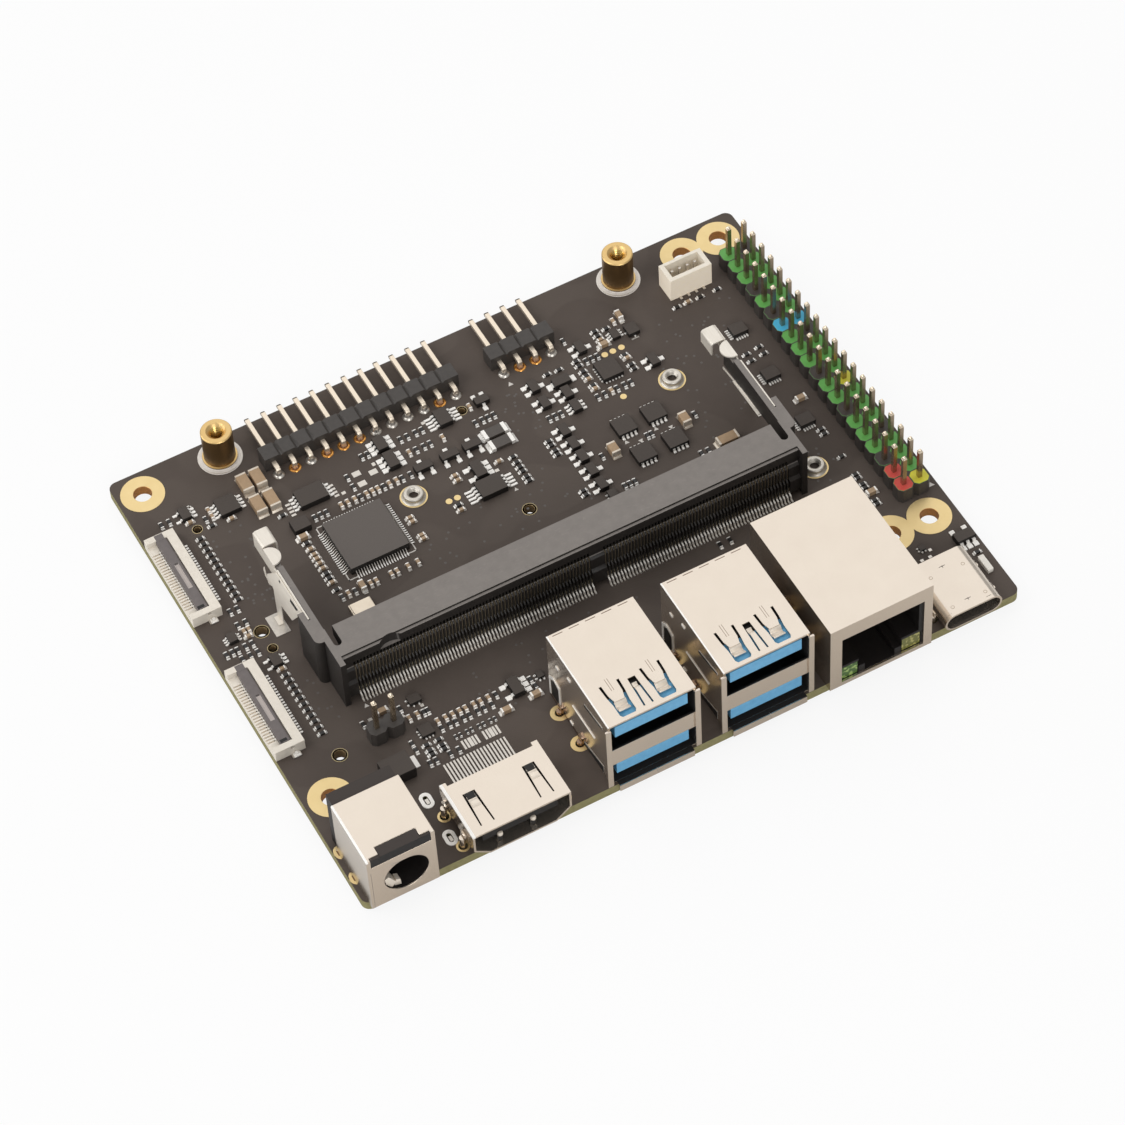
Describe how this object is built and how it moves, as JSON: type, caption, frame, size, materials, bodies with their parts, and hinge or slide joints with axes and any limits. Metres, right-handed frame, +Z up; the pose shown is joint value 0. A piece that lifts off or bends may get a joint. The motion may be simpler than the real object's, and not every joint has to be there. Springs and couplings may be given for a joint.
{
  "type": "carrier board",
  "caption": "Flat circuit board with a long module socket, pin headers, ribbon connectors and a row of ports along one edge.",
  "frame": {"origin": "centre of the footprint, at the level of the solder tails it rests on", "axes": "+X along the port edge, from the power jack to the oval port; +Y from the port edge to the back; +Z up"},
  "size_m": [0.1, 0.0808, 0.0161],
  "materials": {
    "board": "matte mask over glass laminate",
    "gold": "gold plated copper",
    "brass": "turned brass",
    "steel": "nickel plated sheet",
    "tin": "tinned leads and solder",
    "dark_plastic": "moulded, matte",
    "black_plastic": "moulded, matte",
    "white_plastic": "moulded, matte",
    "blue_plastic": "moulded, slight gloss",
    "green_plastic": "painted cell tops, mixed colours",
    "lamp": "clear moulded light guide",
    "chip": "moulded epoxy",
    "ceramic": "fired ceramic"
  },
  "bodies": {
    "board": {"circuit_board": "board", "plated_rings": "gold", "standoffs": "brass", "soldered_nuts": "tin", "module_socket": "dark_plastic", "socket_rear_contacts": "tin", "socket_front_contacts": "tin", "latch_anchor_left": "steel", "latch_anchor_right": "steel", "gpio_base": "black_plastic", "gpio_colour_tops": "green_plastic", "gpio_pins_node": "gold", "angled_base_long": "black_plastic", "angled_pins_long": "gold", "angled_base_short": "black_plastic", "angled_pins_short": "gold", "jumper_base": "black_plastic", "jumper_pins": "gold", "ribbon_housing_front": "white_plastic", "ribbon_contacts_front": "tin", "ribbon_housing_back": "white_plastic", "ribbon_contacts_back": "tin", "ribbon_anchors": "tin", "fan_housing": "white_plastic", "fan_pins": "tin", "stack_shell_left": "steel", "stack_tongues_left": "blue_plastic", "stack_shell_right": "steel", "stack_tongues_right": "blue_plastic", "network_shell": "steel", "network_insert": "black_plastic", "network_lamps": "lamp", "network_wires": "gold", "oval_shell": "steel", "oval_tongue": "black_plastic", "video_shell": "steel", "video_insert": "black_plastic", "video_tails": "tin", "jack_cover": "steel", "jack_body": "black_plastic", "jack_pin": "tin", "hub_chip": "chip", "hub_leads": "tin", "small_chips": "chip", "small_chip_leads": "tin", "inductor": "dark_plastic", "large_capacitors": "ceramic", "sense_resistors": "chip", "crystal": "steel", "power_diode": "chip", "power_light": "lamp", "chip_resistors": "chip", "chip_capacitors": "ceramic", "bare_pads": "tin", "solder_joints": "tin"},
    "flap_front": {"ribbon_flap_front": "dark_plastic"},
    "flap_back": {"ribbon_flap_back": "dark_plastic"},
    "latch_left": {"latch_left": "steel"},
    "latch_right": {"latch_right": "steel"}
  },
  "joints": [
    {"name": "flap_front_hinge", "type": "hinge", "parent": "board", "child": "flap_front", "pos_m": [-0.04741, -0.00545, 0.00438], "axis": [0, 1, 0], "range_deg": [0, 90]},
    {"name": "flap_back_hinge", "type": "hinge", "parent": "board", "child": "flap_back", "pos_m": [-0.04741, 0.01995, 0.00438], "axis": [0, 1, 0], "range_deg": [0, 90]},
    {"name": "latch_left_flex", "type": "hinge", "parent": "board", "child": "latch_left", "pos_m": [-0.03805, 0.0088, 0.0099], "axis": [0, 0, 1], "range_deg": [0, 4], "stiffness_Nm_per_rad": 0.05},
    {"name": "latch_right_flex", "type": "hinge", "parent": "board", "child": "latch_right", "pos_m": [0.03385, 0.0088, 0.0099], "axis": [0, 0, -1], "range_deg": [0, 4], "stiffness_Nm_per_rad": 0.05}
  ]
}
